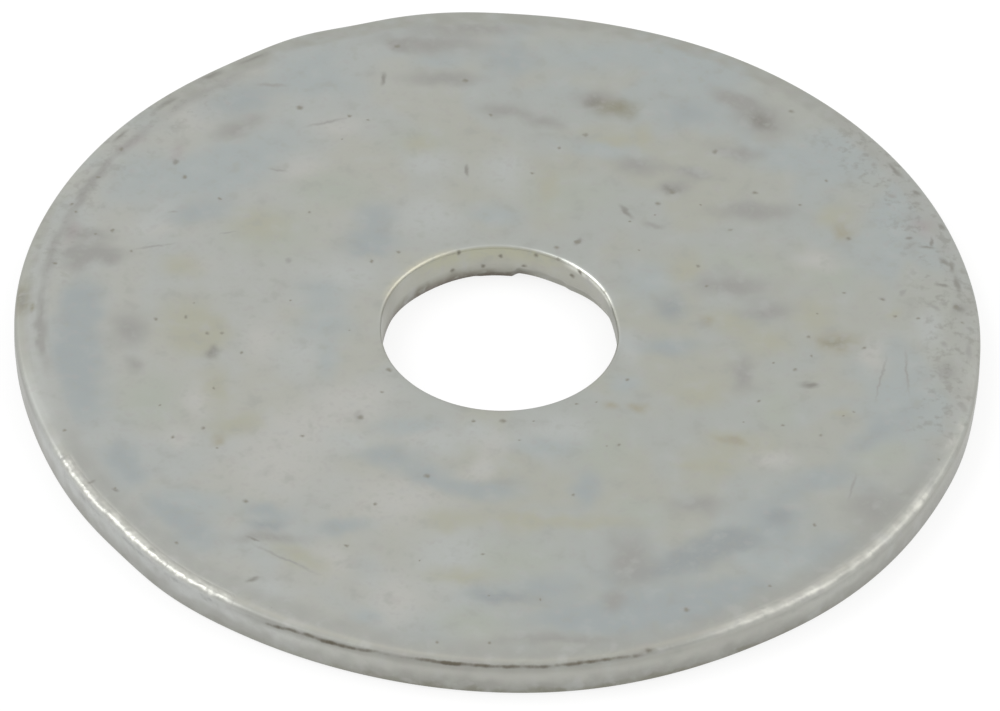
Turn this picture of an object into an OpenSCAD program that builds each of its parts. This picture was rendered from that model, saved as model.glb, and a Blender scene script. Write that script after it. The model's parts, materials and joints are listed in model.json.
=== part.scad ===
// Fender washer: a wide, thin washer blanked from zinc plated sheet steel.
// Its section is drawn once, in the plane of the axis, and turned about Z.
// The section keeps the marks of the press. The top face rolls down at the rim,
// a smooth land follows, and the foot of the wall is torn and steps in a little.
// The bore has a small top edge and a straight land. Its foot is torn into a cone
// that stands off the axis, because the punch stood a little off the die.
// The washer lies flat on z = 0, with the centre of the bore at the origin.

/* [Washer] */
// Outer diameter, measured over the land of the rim
outer_d = 35; // [30:0.5:40]
// Diameter of the straight land of the bore, which clears an 8 mm bolt
bore_d = 8.65; // [8.4:0.05:9.4]
// Thickness of the sheet
sheet_t = 1.5; // [1.25:0.05:2.5]

/* [Rim] */
// Width of the band in which the top face rolls down to the rim
roll_w = 1.1; // [0.7:0.05:1.3]
// Radius of that roll
roll_r = 3.75; // [3:0.25:6]
// Radius of the corner between the roll and the land
corner_r = 0.25; // [0.1:0.05:0.35]
// Height of the torn zone at the foot of the rim
rim_tear_h = 0.6; // [0.3:0.05:0.65]
// How far the torn zone steps in at its foot
rim_tear_in = 0.04; // [0.01:0.01:0.1]
// Radius of the lower edge of the rim
foot_r = 0.12; // [0.05:0.01:0.2]

/* [Bore] */
// Radius of the top edge of the bore
mouth_r = 0.06; // [0.04:0.01:0.2]
// Mean height of the torn foot of the bore
tear_h = 0.45; // [0.3:0.05:0.55]
// Mean flare of the torn foot at the bottom face
tear_out = 0.2; // [0.18:0.02:0.3]
// How far the cone of the torn foot stands off the axis of the bore
tear_shift = 0.16; // [0.04:0.02:0.16]
// Direction of that shift, counted from +X
tear_dir = -25; // [-180:5:180]

/* [Tongue and nick in the torn foot] */
// Direction, counted from +X, where the tongue meets the nick
tongue_at = 80; // [30:1:330]
// Sweep of the tongue, where the metal stands further in
tongue_sweep = 21; // [12:1:30]
// Flare of the tongue at the bottom face
tongue_out = 0.07; // [0.04:0.01:0.12]
// Sweep of the nick beside it, where the metal is torn out deeper
nick_sweep = 23; // [10:1:30]
// Height of the nick above the bottom face
nick_h = 0.6; // [0.4:0.05:0.9]
// Flare of the nick at the bottom face
nick_out = 0.28; // [0.24:0.02:0.34]

/* [Hidden] */
$fn = 180;
rim_r = outer_d / 2;
bore_r = bore_d / 2;
// Straight strips in each round stretch of the section
arc_strips = 10;
// How far a cutting shape reaches past the metal that it cuts
cut_over = 0.5;
// Degrees by which the cut of the tongue runs on into the cuts on both sides of it
side_lap = 5;
// Slope of the roll where it runs into the corner
roll_slope = asin((roll_w - corner_r) / (roll_r - corner_r));
// Height of the corner's centre, which leaves the corner tangent to roll and land
corner_z = sheet_t - roll_r + (roll_r - corner_r) * cos(roll_slope);

// Points of a round stretch about a centre, from one direction to another
function arc(centre, r, from, to) =
    [for (i = [0 : arc_strips])
        let (a = from + (to - from) * i / arc_strips)
        centre + r * [cos(a), sin(a)]];

// Section from the foot of the bore round the rim and back over the top face
function washer_section() = concat(
    [[bore_r, 0]],
    arc([rim_r - rim_tear_in - foot_r, foot_r], foot_r, -90, 0),
    [[rim_r, rim_tear_h]],
    arc([rim_r - corner_r, corner_z], corner_r, 0, 90 - roll_slope),
    arc([rim_r - roll_w, sheet_t - roll_r], roll_r, 90 - roll_slope, 90),
    arc([bore_r + mouth_r, sheet_t - mouth_r], mouth_r, 90, 180)
);

// Cone that cuts a torn zone from the foot of the bore, over part of a turn
module tear(height, out, start, sweep) {
    slope = out / height;
    rotate_extrude(angle = sweep, start = start)
        polygon([
            [bore_r - cut_over, -cut_over],
            [bore_r + out + slope * cut_over, -cut_over],
            [bore_r - slope * cut_over, height + cut_over],
            [bore_r - cut_over, height + cut_over]
        ]);
}

// All the metal that is torn away at the foot of the bore
module torn_foot() {
    translate(tear_shift * [cos(tear_dir), sin(tear_dir), 0])
        tear(tear_h, tear_out, tongue_at + tongue_sweep, 360 - tongue_sweep);
    tear(tear_h, tongue_out, tongue_at - side_lap, tongue_sweep + 2 * side_lap);
    tear(nick_h, nick_out, tongue_at - nick_sweep, nick_sweep);
}

// The washer: the turned section, less what is torn away in its bore
module washer() {
    color("#b2b6b2")
    difference() {
        rotate_extrude() polygon(washer_section());
        torn_foot();
    }
}

washer();
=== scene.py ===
"""A fender washer of zinc plated sheet steel, finished for the camera.

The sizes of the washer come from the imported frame. Its section is drawn as one line,
turned about the axis and then worked: the rim gets its slight lobes, and the foot of
the bore is torn as a punch leaves it. The finish is one zinc plate, with each mark
where the photograph shows it.

Lengths are in millimetres up to the point where they go to Blender, in metres.
"""

import functools
import json
import logging
import math
from collections.abc import Iterable
from dataclasses import dataclass, field
from enum import Enum

import bpy
import numpy as np
from mathutils import Matrix, Vector, noise


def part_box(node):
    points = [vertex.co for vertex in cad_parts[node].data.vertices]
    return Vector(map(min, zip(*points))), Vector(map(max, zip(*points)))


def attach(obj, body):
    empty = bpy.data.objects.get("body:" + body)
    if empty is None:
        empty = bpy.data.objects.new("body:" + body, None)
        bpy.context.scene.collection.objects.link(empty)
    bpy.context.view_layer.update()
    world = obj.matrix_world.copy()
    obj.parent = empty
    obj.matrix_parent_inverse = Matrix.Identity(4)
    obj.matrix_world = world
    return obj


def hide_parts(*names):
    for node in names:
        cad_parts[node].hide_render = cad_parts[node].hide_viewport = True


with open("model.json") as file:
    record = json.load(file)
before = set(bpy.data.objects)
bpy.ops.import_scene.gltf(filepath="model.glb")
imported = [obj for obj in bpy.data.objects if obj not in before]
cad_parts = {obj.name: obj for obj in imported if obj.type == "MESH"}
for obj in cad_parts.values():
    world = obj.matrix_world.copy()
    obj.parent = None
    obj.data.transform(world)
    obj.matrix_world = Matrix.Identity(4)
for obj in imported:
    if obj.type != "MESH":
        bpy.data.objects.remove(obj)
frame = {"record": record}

LOG = logging.getLogger("fender_washer")
MM = 0.001
# Without a seed of its own, the noise of mathutils differs from run to run
NOISE_SEED = 7
NOISE_ROUGHNESS = 0.55
# Layers of the noise that shifts outlines, and the middle height of a noise from 0 to 1
DRIFT_DETAIL = 2.0
NOISE_MIDDLE = 0.5
Point =tuple[float, float, float]
# A column and a row in the photograph
Pixel = tuple[float, float]
# A radius and a height in the washer's section
SectionPoint = tuple[float, float]
Tint = tuple[float, float, float, float]


def tint(red: int, green: int, blue: int) -> Tint:
    """Turn a colour as seen on a screen into the linear one that shaders use.

    Args:
        red: Red from 0 to 255.
        green: Green from 0 to 255.
        blue: Blue from 0 to 255.

    Returns:
        Linear red, green, blue and a full alpha.
    """
    parts = [c / 255 for c in (red, green, blue)]
    linear = [c / 12.92 if c <= 0.04045 else ((c + 0.055) / 1.055) ** 2.4 for c in parts]
    return (linear[0], linear[1], linear[2], 1.0)


def soft_step(low: float, high: float, value: np.ndarray) -> np.ndarray:
    """Rise smoothly from 0 at low to 1 at high.

    Args:
        low: Value at which the rise starts.
        high: Value at which it ends, which may be the lower one.
        value: Values to map.

    Returns:
        Shares from 0 to 1.
    """
    share = np.clip((value - low) / (high - low), 0, 1)
    return share * share * (3 - 2 * share)


def heading(azimuth: float) -> Point:
    """Give the level direction at an azimuth in degrees from +X."""
    return (math.cos(math.radians(azimuth)), math.sin(math.radians(azimuth)), 0.0)


def degrees_from(azimuth: np.ndarray, toward: float) -> np.ndarray:
    """Give how many degrees directions in radians lie from one given in degrees."""
    return (np.degrees(azimuth) - toward + 180) % 360 - 180


@dataclass(frozen=True)
class Rise:
    """A soft rise from 0 at one value to 1 at another, which may be the lower one."""

    start: float
    full: float

    def share(self, value: np.ndarray) -> np.ndarray:
        """Give the share from 0 to 1 at each value."""
        return soft_step(self.start, self.full, value)


@dataclass(frozen=True)
class Line:
    """A soft line about a middle value, full over its core and gone at its half width."""

    middle: float
    half: float
    core: float = 0.0

    def share(self, value: np.ndarray) -> np.ndarray:
        """Give the share from 0 to 1 at each value."""
        return soft_step(self.half, self.core, np.abs(value - self.middle))


@dataclass(frozen=True)
class Stretch:
    """A stretch of the turn with soft ends, in degrees.

    Attributes:
        toward: Direction of its middle from +X.
        half: Half of the sweep over which it is full.
        soft: Sweep beyond that over which it fades out.
        strength: Its value where it is full.
    """

    toward: float
    half: float
    soft: float
    strength: float = 1.0

    def share(self, azimuth: np.ndarray) -> np.ndarray:
        """Give its value at each direction in radians."""
        away = np.abs(degrees_from(azimuth, self.toward))
        return self.strength * soft_step(self.half + self.soft, self.half, away)


@dataclass(frozen=True)
class Uneven:
    """A share that a random wave makes uneven."""

    mean: float
    swing: float

    def share(self, wave: np.ndarray) -> np.ndarray:
        """Give the share at each height of the wave."""
        return self.mean + self.swing * wave


@dataclass(frozen=True)
class PhotoView:
    """The camera of the photograph, as fitted to the outlines of rim and bore."""

    width_px: float = 1000.0
    height_px: float = 711.0
    focal_px: float = 16000.0
    sensor_mm: float = 36.0
    distance: float = 582.7
    elevation: float = 43.1
    roll: float = 1.75
    origin_px: Pixel = (498.0, 357.5)
    clip_near_m: float = 0.01
    clip_far_m: float = 10.0

    def axes(self) -> tuple[Vector, Vector, Vector]:
        """Work out the view's directions.

        Returns:
            Its right, up and forward directions.
        """
        tip = math.radians(self.elevation)
        turn = math.radians(self.roll)
        right = Vector((1, 0, 0))
        up = Vector((0, math.sin(tip), math.cos(tip)))
        forward = Vector((0, math.cos(tip), -math.sin(tip)))
        rolled_right = right * math.cos(turn) + up * math.sin(turn)
        rolled_up = up * math.cos(turn) - right * math.sin(turn)
        return rolled_right, rolled_up, forward

    def place(self) -> Vector:
        """Work out where the camera stands.

        Returns:
            Its place in millimetres.
        """
        right, up, forward = self.axes()
        aside = (self.origin_px[0] - self.width_px / 2) * self.distance / self.focal_px
        above = (self.height_px / 2 - self.origin_px[1]) * self.distance / self.focal_px
        return -(forward * self.distance + right * aside + up * above)

    def ray(self, pixel: Pixel) -> Vector:
        """Work out the direction in which a pixel looks.

        Args:
            pixel: Column and row in the photograph.

        Returns:
            The direction, one millimetre long along the middle of the view.
        """
        right, up, forward = self.axes()
        aside = (pixel[0] - self.width_px / 2) / self.focal_px
        above = (self.height_px / 2 - pixel[1]) / self.focal_px
        return forward + right * aside + up * above

    def on_level(self, pixel: Pixel, level: float) -> Point:
        """Find where a pixel meets a level plane.

        Args:
            pixel: Column and row in the photograph.
            level: Height of the plane in millimetres.

        Returns:
            The point in millimetres.
        """
        eye = self.place()
        ray = self.ray(pixel)
        point = eye + ray * ((level - eye.z) / ray.z)
        return (point.x, point.y, point.z)

    def on_far_wall(self, pixel: Pixel, radius: float) -> Point:
        """Find where a pixel meets the far side of an upright wall round the axis.

        Args:
            pixel: Column and row in the photograph.
            radius: Radius of the wall in millimetres.

        Returns:
            The point in millimetres.
        """
        eye = self.place()
        ray = self.ray(pixel)
        a = ray.x**2 + ray.y**2
        half_b = eye.x * ray.x + eye.y * ray.y
        c = eye.x**2 + eye.y**2 - radius**2
        root = math.sqrt(max(half_b**2 - a * c, 0.0))
        point = eye + ray * ((-half_b + root) / a)
        return (point.x, point.y, point.z)

    def set_up(self) -> bpy.types.Object:
        """Add the camera and make it the scene's own.

        Returns:
            The camera.
        """
        right, up, forward = self.axes()
        turned = Matrix((right, up, -forward)).transposed().to_4x4()
        bpy.ops.object.camera_add()
        camera = bpy.context.object
        camera.name = "photo_camera"
        camera.matrix_world = Matrix.Translation(self.place() * MM) @ turned
        camera.data.sensor_width = self.sensor_mm
        camera.data.lens = self.focal_px / self.width_px * self.sensor_mm
        camera.data.clip_start = self.clip_near_m
        camera.data.clip_end = self.clip_far_m
        bpy.context.scene.camera = camera
        return camera


class Socket:
    """A value in a shader, on which sums can be written."""

    def __init__(self, graph: "Graph", link: bpy.types.NodeSocket) -> None:
        """Hold a node's output socket and the graph that it belongs to."""
        self.graph = graph
        self.link = link

    def result(self, operation: str, first: object, second: object) -> "Socket":
        """Add one Math node on two values."""
        return self.graph.add("ShaderNodeMath", {"operation": operation}, {0: first, 1: second})

    def __add__(self, other: object) -> "Socket":
        """Give this value plus another."""
        return self.result("ADD", self, other)

    def __radd__(self, other: object) -> "Socket":
        """Give another value plus this one."""
        return self.result("ADD", other, self)

    def __sub__(self, other: object) -> "Socket":
        """Give this value less another."""
        return self.result("SUBTRACT", self, other)

    def __rsub__(self, other: object) -> "Socket":
        """Give another value less this one."""
        return self.result("SUBTRACT", other, self)

    def __mul__(self, other: object) -> "Socket":
        """Give this value times another."""
        return self.result("MULTIPLY", self, other)

    def __rmul__(self, other: object) -> "Socket":
        """Give another value times this one."""
        return self.result("MULTIPLY", other, self)

    def larger(self, other: object) -> "Socket":
        """Give the larger of this value and another."""
        return self.result("MAXIMUM", self, other)

    def smaller(self, other: object) -> "Socket":
        """Give the smaller of this value and another."""
        return self.result("MINIMUM", self, other)

    def step(self, rise: Rise) -> "Socket":
        """Give the share of a soft rise at this value."""
        sockets = {"Value": self, "From Min": rise.start, "From Max": rise.full}
        return self.graph.add("ShaderNodeMapRange", {"interpolation_type": "SMOOTHSTEP"}, sockets)

    def output(self, name: str) -> "Socket":
        """Give another output of the same node."""
        return Socket(self.graph, self.link.node.outputs[name])


def least(values: Iterable[Socket]) -> Socket:
    """Give the least of some values."""
    return functools.reduce(Socket.smaller, values)


class Graph:
    """The node tree of one material, filled node by node."""

    def __init__(self, name: str) -> None:
        """Make an empty material.

        Args:
            name: The material's name.
        """
        self.material = bpy.data.materials.new(name)
        self.material.use_nodes = True
        self.tree = self.material.node_tree
        self.tree.nodes.clear()

    def node(self, kind: str, settings: dict, sockets: dict) -> bpy.types.Node:
        """Add one node.

        Args:
            kind: The node's type, such as ShaderNodeMath.
            settings: The node's own settings, set before its sockets.
            sockets: Values or links by the name or number of the input socket.

        Returns:
            The node.
        """
        node = self.tree.nodes.new(kind)
        for name, value in settings.items():
            setattr(node, name, value)
        for key, value in sockets.items():
            if isinstance(value, Socket):
                self.tree.links.new(value.link, node.inputs[key])
            else:
                node.inputs[key].default_value = value
        return node

    def add(self, kind: str, settings: dict, sockets: dict, out: int | str = 0) -> Socket:
        """Add one node and give one of its outputs, ready for sums."""
        return Socket(self, self.node(kind, settings, sockets).outputs[out])

    def vector(self, operation: str, sockets: dict, out: int | str = 0) -> Socket:
        """Add one Vector Math node."""
        return self.add("ShaderNodeVectorMath", {"operation": operation}, sockets, out)

    def mixed(self, share: Socket | float, under: object, over: object) -> Socket:
        """Lay one colour over another by a share from 0 to 1."""
        return self.add("ShaderNodeMix", {"data_type": "RGBA"}, {0: share, 6: under, 7: over}, 2)

    def grain(self, place: Socket, scale: float, detail: float) -> Socket:
        """Add a Noise texture from 0 to 1, of a scale in waves a millimetre."""
        sockets = {"Vector": place, "Scale": scale, "Detail": detail, "Roughness": NOISE_ROUGHNESS}
        return self.add("ShaderNodeTexNoise", {}, sockets)

    def drifted(self, place: Socket, scale: float, reach: float) -> Socket:
        """Shift a place by a noise, so that what is drawn on it gets a ragged outline.

        Args:
            place: The place in millimetres.
            scale: Waves of the noise a millimetre.
            reach: Shift in millimetres where the noise is at its full height.

        Returns:
            The shifted place.
        """
        sockets = {"Vector": place, "Scale": scale}
        sockets |= {"Detail": DRIFT_DETAIL, "Roughness": NOISE_ROUGHNESS}
        waves = self.add("ShaderNodeTexNoise", {"normalize": False}, sockets, "Color")
        return self.vector("MULTIPLY_ADD", {0: waves, 1: (reach, reach, reach), 2: place})

    def finish(self, shader: Socket) -> bpy.types.Material:
        """Join the shader to the output and give the material."""
        self.node("ShaderNodeOutputMaterial", {}, {"Surface": shader})
        return self.material


@dataclass(frozen=True)
class Mark:
    """An ellipse on the metal, with its half lengths in millimetres and its lean in radians."""

    centre: Point
    long: float
    wide: float
    lean: float


class Tone(Enum):
    """Tones of the plate, of what sits on it and of painted light and shade, as the eye sees them.
    """

    PLATE = tint(173, 175, 169)
    FROST = tint(180, 183, 180)
    PEARL = tint(184, 184, 179)
    SAGE = tint(172, 176, 167)
    AZURE = tint(169, 175, 174)
    BLUE = tint(163, 169, 169)
    SLATE = tint(156, 161, 161)
    STRAW = tint(173, 173, 159)
    TAN = tint(165, 162, 147)
    OLIVE = tint(149, 147, 132)
    ROSE = tint(166, 161, 159)
    SMOKE = tint(159, 159, 155)
    # Dark spots and scratches, and also soft painted shade beside the rim's crease
    SOOT_AND_SHADE = tint(143, 142, 136)
    PIT = tint(143, 141, 131)
    DEEP_PIT = tint(126, 123, 113)
    # Painted light and shade of the roll: lighter on the left, darker on the other sides
    ROLL_LEFT_PAINTED_LIGHT = tint(176, 178, 174)
    ROLL_FAR_PAINTED_SHADE = tint(165, 166, 159)
    ROLL_RIGHT_PAINTED_SHADE = tint(171, 172, 167)
    ROLL_NEAR_PAINTED_SHADE = tint(160, 161, 156)
    FRINGE = tint(177, 174, 161)
    # Painted highlight on two stretches of the rim's corner
    PAINTED_HIGHLIGHT = tint(214, 214, 207)
    # Painted shade along the crease of the rim's corner in front
    PAINTED_CREASE_SHADE = tint(108, 103, 92)
    WALL = tint(182, 183, 177)
    # Painted light and shade of the rim's wall; its low part and foot are also darker torn metal
    WALL_LEFT_PAINTED_LIGHT = tint(186, 188, 186)
    WALL_FRONT_PAINTED_SHADE = tint(171, 171, 164)
    WALL_RIGHT_PAINTED_SHADE = tint(165, 165, 158)
    WALL_DARKER_TORN_AND_SHADE = tint(154, 154, 148)
    WALL_FOOT_TORN_AND_SHADE = tint(134, 133, 122)
    BORE = tint(175, 175, 166)
    BORE_FAR = tint(178, 178, 159)
    BORE_RIGHT = tint(147, 148, 139)
    # Torn metal at the bore's foot, also painted shade low on the bore's wall on the left
    BORE_TORN_AND_SHADE = tint(144, 143, 133)
    BORE_EDGE_TORN_AND_SHADE = tint(116, 110, 100)
    # Painted highlights along the bore's mouth
    MOUTH_LEFT_PAINTED_HIGHLIGHT = tint(196, 193, 172)
    MOUTH_RIGHT_PAINTED_HIGHLIGHT = tint(222, 223, 214)


@dataclass(frozen=True)
class Patch:
    """A soft patch on the top face.

    Attributes:
        at: Its centre in the photograph.
        long: Half of its length in millimetres.
        wide: Half of its width in millimetres.
        lean: Direction of its length in degrees from +X, seen from above.
    """

    at: Pixel
    long: float
    wide: float
    lean: float = 0.0

    def on(self, view: PhotoView, level: float, spread: float) -> Mark:
        """Give its mark on the metal, spread out so that it can fade towards its outline."""
        centre = view.on_level(self.at, level)
        return Mark(centre, self.long * spread, self.wide * spread, math.radians(self.lean))


@dataclass(frozen=True)
class Stroke:
    """A scratch or a smear on the top face, from one pixel of the photograph to another."""

    start: Pixel
    end: Pixel
    wide: float

    def on(self, view: PhotoView, level: float, spread: float) -> Mark:
        """Work out its mark on the metal.

        Args:
            view: The camera of the photograph.
            level: Height of the face in millimetres.
            spread: Factor on its width, so that it can fade towards its outline.

        Returns:
            The mark.
        """
        start = Vector(view.on_level(self.start, level))
        end = Vector(view.on_level(self.end, level))
        along = end - start
        lean = math.atan2(along.y, along.x)
        return Mark(tuple((start + end) / 2), along.length / 2, self.wide * spread, lean)


@dataclass(frozen=True)
class Pits:
    """Small pits of one size, each at its pixel in the photograph."""

    radius: float
    at: tuple[Pixel, ...]


PatchTable = dict[Tone, tuple[Patch, ...]]

PATCHES: PatchTable = {
    Tone.SAGE: (
        Patch((415, 140), 1.2, 0.8),
        Patch((565, 195), 1.8, 1.0),
        Patch((740, 262), 1.6, 0.6, -15),
        Patch((832, 278), 1.0, 0.7),
        Patch((776, 408), 0.7, 1.2),
        Patch((500, 560), 2.0, 1.0),
        Patch((270, 235), 1.6, 1.2),
        Patch((600, 450), 1.2, 1.4),
        Patch((150, 400), 1.2, 1.3),
        Patch((640, 510), 1.0, 0.6),
        Patch((470, 620), 1.2, 0.7),
        Patch((330, 190), 1.4, 1.0),
        Patch((880, 455), 1.2, 0.6, 30),
    ),
    Tone.PEARL: (
        Patch((197, 117), 0.85, 0.75),
        Patch((192, 264), 0.7, 0.4),
        Patch((275, 462), 1.8, 1.7),
        Patch((318, 420), 1.4, 1.2),
        Patch((400, 500), 1.9, 1.4),
        Patch((398, 600), 1.1, 1.4),
        Patch((330, 562), 0.7, 0.8),
        Patch((770, 460), 0.8, 0.5),
        Patch((500, 440), 0.9, 0.5),
        Patch((484, 466), 0.9, 0.45, 60),
        Patch((200, 402), 0.5, 0.9),
        Patch((181, 440), 0.6, 0.5),
        Patch((338, 126), 0.95, 0.5, 15),
        Patch((300, 165), 0.7, 0.7),
        Patch((815, 263), 0.8, 0.5),
        Patch((872, 356), 0.45, 0.8),
        Patch((262, 340), 0.6, 1.0),
        Patch((365, 397), 1.2, 0.9),
        Patch((425, 438), 0.9, 0.5),
        Patch((152, 226), 0.7, 0.6),
    ),
    Tone.FROST: (
        Patch((440, 446), 0.9, 0.5),
        Patch((350, 440), 1.0, 0.6),
        Patch((303, 350), 1.0, 1.2),
        Patch((478, 432), 0.8, 0.5),
        Patch((450, 560), 1.3, 2.0),
        Patch((430, 162), 1.0, 0.8),
        Patch((430, 218), 1.2, 1.1),
        Patch((345, 274), 1.1, 0.8),
        Patch((503, 170), 0.9, 1.2),
        Patch((560, 428), 1.2, 0.8),
        Patch((270, 590), 0.8, 0.6),
        Patch((160, 210), 0.35, 1.6, -30),
        Patch((85, 262), 0.5, 0.7),
        Patch((632, 345), 0.5, 0.8),
        Patch((930, 330), 0.5, 1.0),
    ),
    Tone.AZURE: (
        Patch((592, 56), 2.6, 0.9),
        Patch((700, 76), 2.0, 0.8, -30),
        Patch((440, 60), 1.0, 0.5),
        Patch((313, 62), 1.2, 0.8, 15),
        Patch((318, 86), 1.6, 0.6),
        Patch((255, 150), 2.2, 1.2, 30),
        Patch((218, 176), 1.5, 1.1, 30),
        Patch((142, 176), 1.3, 1.3, 45),
        Patch((840, 160), 2.0, 1.2, -30),
        Patch((775, 158), 1.2, 0.7, -15),
        Patch((600, 150), 1.6, 0.5, -15),
        Patch((325, 325), 1.1, 0.9),
        Patch((320, 292), 0.9, 0.7),
        Patch((330, 362), 0.45, 0.8),
        Patch((650, 282), 1.1, 1.3),
        Patch((410, 428), 1.2, 0.5),
        Patch((546, 446), 1.3, 0.6),
        Patch((86, 402), 0.7, 0.8),
        Patch((190, 502), 1.5, 0.7, -15),
        Patch((892, 250), 0.4, 2.0),
        Patch((886, 212), 0.5, 0.7),
        Patch((898, 392), 0.8, 1.0),
        Patch((366, 616), 0.6, 0.35),
        Patch((775, 562), 1.5, 0.8, 15),
        Patch((625, 382), 0.6, 0.5),
        Patch((495, 214), 1.0, 0.6),
    ),
    Tone.BLUE: (
        Patch((84, 385), 1.9, 1.0, 90),
        Patch((76, 335), 1.7, 0.8, 90),
        Patch((118, 454), 0.7, 0.5),
        Patch((126, 474), 0.7, 0.7),
        Patch((195, 532), 1.0, 0.8, -30),
        Patch((165, 510), 0.8, 0.5, -30),
        Patch((268, 514), 1.0, 0.5, -15),
        Patch((745, 590), 1.4, 0.6, 20),
        Patch((700, 612), 1.2, 0.5, 15),
        Patch((345, 527), 1.2, 0.4, 15),
        Patch((386, 455), 1.2, 0.5),
        Patch((432, 476), 1.2, 0.5, -15),
        Patch((492, 490), 1.2, 0.5),
        Patch((585, 490), 0.5, 1.0),
        Patch((545, 588), 1.2, 0.6),
        Patch((655, 600), 2.6, 0.9, 15),
        Patch((590, 622), 2.8, 0.8),
        Patch((880, 430), 1.8, 0.5, 45),
        Patch((820, 480), 1.3, 0.5, 30),
        Patch((780, 520), 1.2, 1.1, 30),
        Patch((240, 102), 1.6, 0.9, 30),
        Patch((375, 222), 0.8, 1.1),
        Patch((370, 246), 1.2, 0.5),
        Patch((84, 298), 0.8, 1.1),
        Patch((200, 210), 1.2, 0.7, 15),
        Patch((668, 344), 1.2, 0.45),
        Patch((690, 114), 1.0, 0.7),
        Patch((508, 60), 0.9, 0.8),
        Patch((835, 546), 1.0, 0.7, 30),
    ),
    Tone.SLATE: (
        Patch((702, 552), 1.2, 0.45, 15),
        Patch((745, 545), 0.8, 0.3, 15),
        Patch((742, 322), 0.7, 0.5),
        Patch((674, 310), 0.6, 0.65),
        Patch((265, 526), 0.6, 0.25),
        Patch((660, 572), 2.0, 0.5, 15),
        Patch((728, 536), 1.2, 0.4, 15),
        Patch((780, 516), 0.45, 0.35, 30),
        Patch((500, 596), 1.2, 0.35),
    ),
    Tone.STRAW: (
        Patch((186, 320), 1.25, 1.3),
        Patch((205, 336), 0.9, 0.8),
        Patch((262, 225), 1.0, 0.9),
        Patch((182, 266), 0.8, 0.6),
        Patch((420, 143), 0.7, 0.5),
        Patch((612, 142), 0.8, 0.3),
        Patch((235, 425), 0.9, 0.6, 15),
        Patch((547, 186), 0.4, 0.8),
        Patch((644, 137), 0.35, 0.6),
        Patch((836, 216), 0.8, 0.7),
        Patch((815, 316), 0.6, 0.8),
        Patch((765, 342), 1.1, 0.8),
        Patch((730, 320), 0.8, 0.6),
        Patch((700, 392), 0.9, 0.9),
        Patch((736, 440), 0.5, 1.2, 75),
        Patch((722, 464), 0.5, 0.7),
        Patch((692, 466), 0.6, 0.3),
        Patch((575, 521), 2.4, 0.35),
        Patch((522, 525), 0.6, 0.6),
        Patch((462, 576), 1.3, 0.45),
        Patch((300, 558), 1.3, 0.45, -30),
        Patch((846, 413), 0.35, 0.3),
        Patch((895, 314), 0.22, 0.3),
        Patch((216, 386), 0.4, 1.1),
        Patch((685, 268), 0.6, 1.0),
        Patch((706, 637), 0.5, 0.3),
        Patch((450, 520), 1.0, 0.6),
    ),
    Tone.TAN: (
        Patch((219, 440), 0.22, 0.3),
        Patch((846, 232), 0.4, 0.5),
        Patch((708, 323), 0.22, 0.28),
        Patch((835, 343), 0.8, 0.5),
        Patch((641, 409), 0.35, 0.3),
        Patch((612, 408), 0.3, 0.25),
        Patch((735, 440), 0.2, 0.6, 75),
        Patch((245, 600), 0.35, 0.3),
    ),
    Tone.SMOKE: (
        Patch((108, 262), 0.4, 0.35),
        Patch((98, 252), 1.1, 0.35),
        Patch((92, 236), 0.7, 0.4),
        Patch((76, 262), 0.5, 0.7),
        Patch((240, 128), 1.0, 0.4, 30),
        Patch((430, 44), 2.0, 0.5),
        Patch((128, 330), 0.7, 1.0),
        Patch((136, 366), 0.3, 0.4),
        Patch((268, 538), 1.2, 0.3),
        Patch((446, 79), 1.5, 0.4),
        Patch((398, 47), 0.3, 0.35),
        Patch((505, 110), 0.9, 0.35),
        Patch((545, 122), 0.8, 0.3, -15),
        Patch((634, 166), 0.8, 0.45),
        Patch((690, 171), 0.8, 0.3, -15),
        Patch((674, 188), 0.6, 0.5),
        Patch((760, 119), 1.2, 0.8, -45),
        Patch((730, 97), 0.9, 0.4, -30),
        Patch((596, 103), 0.8, 0.6),
        Patch((755, 212), 1.6, 0.45),
        Patch((740, 152), 1.0, 0.4, -15),
        Patch((770, 311), 0.8, 0.5),
        Patch((732, 286), 1.4, 0.6),
        Patch((740, 374), 0.35, 0.9),
        Patch((630, 560), 0.8, 1.4),
        Patch((612, 602), 0.4, 0.5),
        Patch((880, 510), 1.0, 1.2, 45),
        Patch((946, 372), 0.3, 0.5),
        Patch((700, 505), 0.9, 0.5),
        Patch((470, 28), 2.0, 0.35),
        Patch((560, 640), 2.2, 0.25),
        Patch((360, 416), 0.16, 0.28),
    ),
    Tone.ROSE: (
        Patch((71, 232), 0.25, 0.6, -15),
        Patch((176, 154), 0.16, 0.5, -10),
        Patch((130, 144), 0.6, 0.2, 40),
        Patch((925, 225), 0.6, 0.5, -50),
    ),
    Tone.SOOT_AND_SHADE: (
        Patch((594, 104), 0.35, 0.3),
        Patch((762, 120), 0.5, 0.35, -45),
        Patch((673, 190), 0.25, 0.22),
        Patch((960, 308), 0.28, 0.36, -45),
        Patch((214, 352), 0.25, 0.35),
        Patch((811, 385), 0.4, 0.14),
        Patch((906, 492), 0.25, 0.16),
    ),
    Tone.OLIVE: (
        Patch((617, 110), 0.75, 0.55),
        Patch((834, 343), 0.45, 0.28),
    ),
}

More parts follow.
